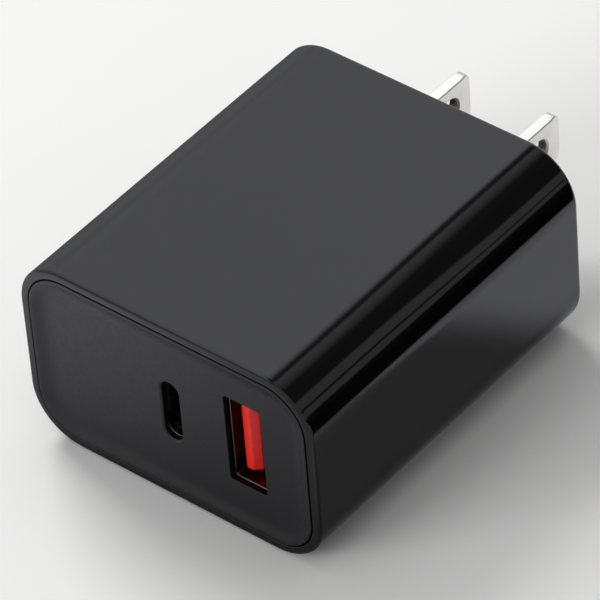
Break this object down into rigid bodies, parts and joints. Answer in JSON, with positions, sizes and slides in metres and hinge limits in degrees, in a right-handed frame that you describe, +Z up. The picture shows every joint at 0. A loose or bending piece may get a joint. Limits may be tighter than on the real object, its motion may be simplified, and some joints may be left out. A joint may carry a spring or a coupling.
{
  "type": "usb wall charger",
  "caption": "Compact black plug-in USB wall charger: rounded glossy sleeve, dished front panel with an upright USB-C and a red-tongued USB-A socket, and fixed flat plug blades behind.",
  "frame": {"origin": "middle of the footprint, on the surface that the charger lies on", "axes": "+Y from the socket panel towards the plug blades, +Z up out of the broad upper face, +X towards the USB-A side"},
  "size_m": [0.041, 0.061, 0.0254],
  "materials": {
    "gloss_black": "gloss",
    "matte_black": "satin",
    "rear_black": "satin",
    "nickel": "satin",
    "bright_steel": "polished",
    "red_plastic": "satin",
    "dark_plastic": "satin",
    "gold": "polished",
    "board_green": "satin",
    "tin": "satin",
    "bronze": "satin",
    "brown_epoxy": "satin",
    "blue_epoxy": "satin",
    "yellow_plastic": "satin",
    "dark_ferrite": "matte",
    "copper": "satin",
    "black_epoxy": "matte",
    "can_sleeve": "satin",
    "aluminium": "satin",
    "yellow_tape": "satin",
    "paper_sheet": "matte",
    "grey_silicone": "matte"
  },
  "bodies": {
    "charger": {"blade_left": "nickel", "blade_right": "nickel", "bridge_rectifier": "black_epoxy", "bulk_capacitor_1": "can_sleeve", "bulk_capacitor_2": "can_sleeve", "choke_core": "dark_ferrite", "choke_winding_left": "copper", "choke_winding_right": "copper", "front_panel": "matte_black", "fuse": "brown_epoxy", "heat_spreader": "aluminium", "housing_sleeve": "gloss_black", "insulation_sheet": "paper_sheet", "link_pin_1": "tin", "link_pin_2": "tin", "link_pin_3": "tin", "link_pin_4": "tin", "load_switch": "black_epoxy", "main_board": "board_green", "mains_spring_left": "bronze", "mains_spring_right": "bronze", "optocoupler": "black_epoxy", "output_capacitor_1": "aluminium", "output_capacitor_2": "aluminium", "output_inductor": "dark_ferrite", "pd_controller": "black_epoxy", "plug_plate": "rear_black", "port_board": "board_green", "primary_switch": "black_epoxy", "sync_rectifier": "black_epoxy", "thermal_pad": "grey_silicone", "transformer_bobbin": "black_epoxy", "transformer_core_lower": "dark_ferrite", "transformer_core_upper": "dark_ferrite", "transformer_winding": "yellow_tape", "usb_a_insulator": "red_plastic", "usb_a_shell": "bright_steel", "usb_c_contact_1": "gold", "usb_c_contact_2": "gold", "usb_c_contact_3": "gold", "usb_c_contact_4": "gold", "usb_c_contact_5": "gold", "usb_c_contact_6": "gold", "usb_c_insulator": "dark_plastic", "usb_c_shell": "bright_steel", "varistor": "blue_epoxy", "x_capacitor": "yellow_plastic", "y_capacitor": "brown_epoxy"},
    "contact_spring_1": {"usb_a_contact_1": "gold"},
    "contact_spring_2": {"usb_a_contact_2": "gold"},
    "contact_spring_3": {"usb_a_contact_3": "gold"},
    "contact_spring_4": {"usb_a_contact_4": "gold"}
  },
  "joints": [
    {"name": "contact_1_press", "type": "hinge", "parent": "charger", "child": "contact_spring_1", "pos_m": [0.00965, -0.01785, 0.0092], "axis": [0, 0, -1], "range_deg": [0, 3.5], "stiffness_Nm_per_rad": 0.04},
    {"name": "contact_2_press", "type": "hinge", "parent": "charger", "child": "contact_spring_2", "pos_m": [0.00965, -0.01785, 0.0117], "axis": [0, 0, -1], "range_deg": [0, 3.5], "stiffness_Nm_per_rad": 0.04},
    {"name": "contact_3_press", "type": "hinge", "parent": "charger", "child": "contact_spring_3", "pos_m": [0.00965, -0.01785, 0.0137], "axis": [0, 0, -1], "range_deg": [0, 3.5], "stiffness_Nm_per_rad": 0.04},
    {"name": "contact_4_press", "type": "hinge", "parent": "charger", "child": "contact_spring_4", "pos_m": [0.00965, -0.01785, 0.0162], "axis": [0, 0, -1], "range_deg": [0, 3.5], "stiffness_Nm_per_rad": 0.04}
  ]
}
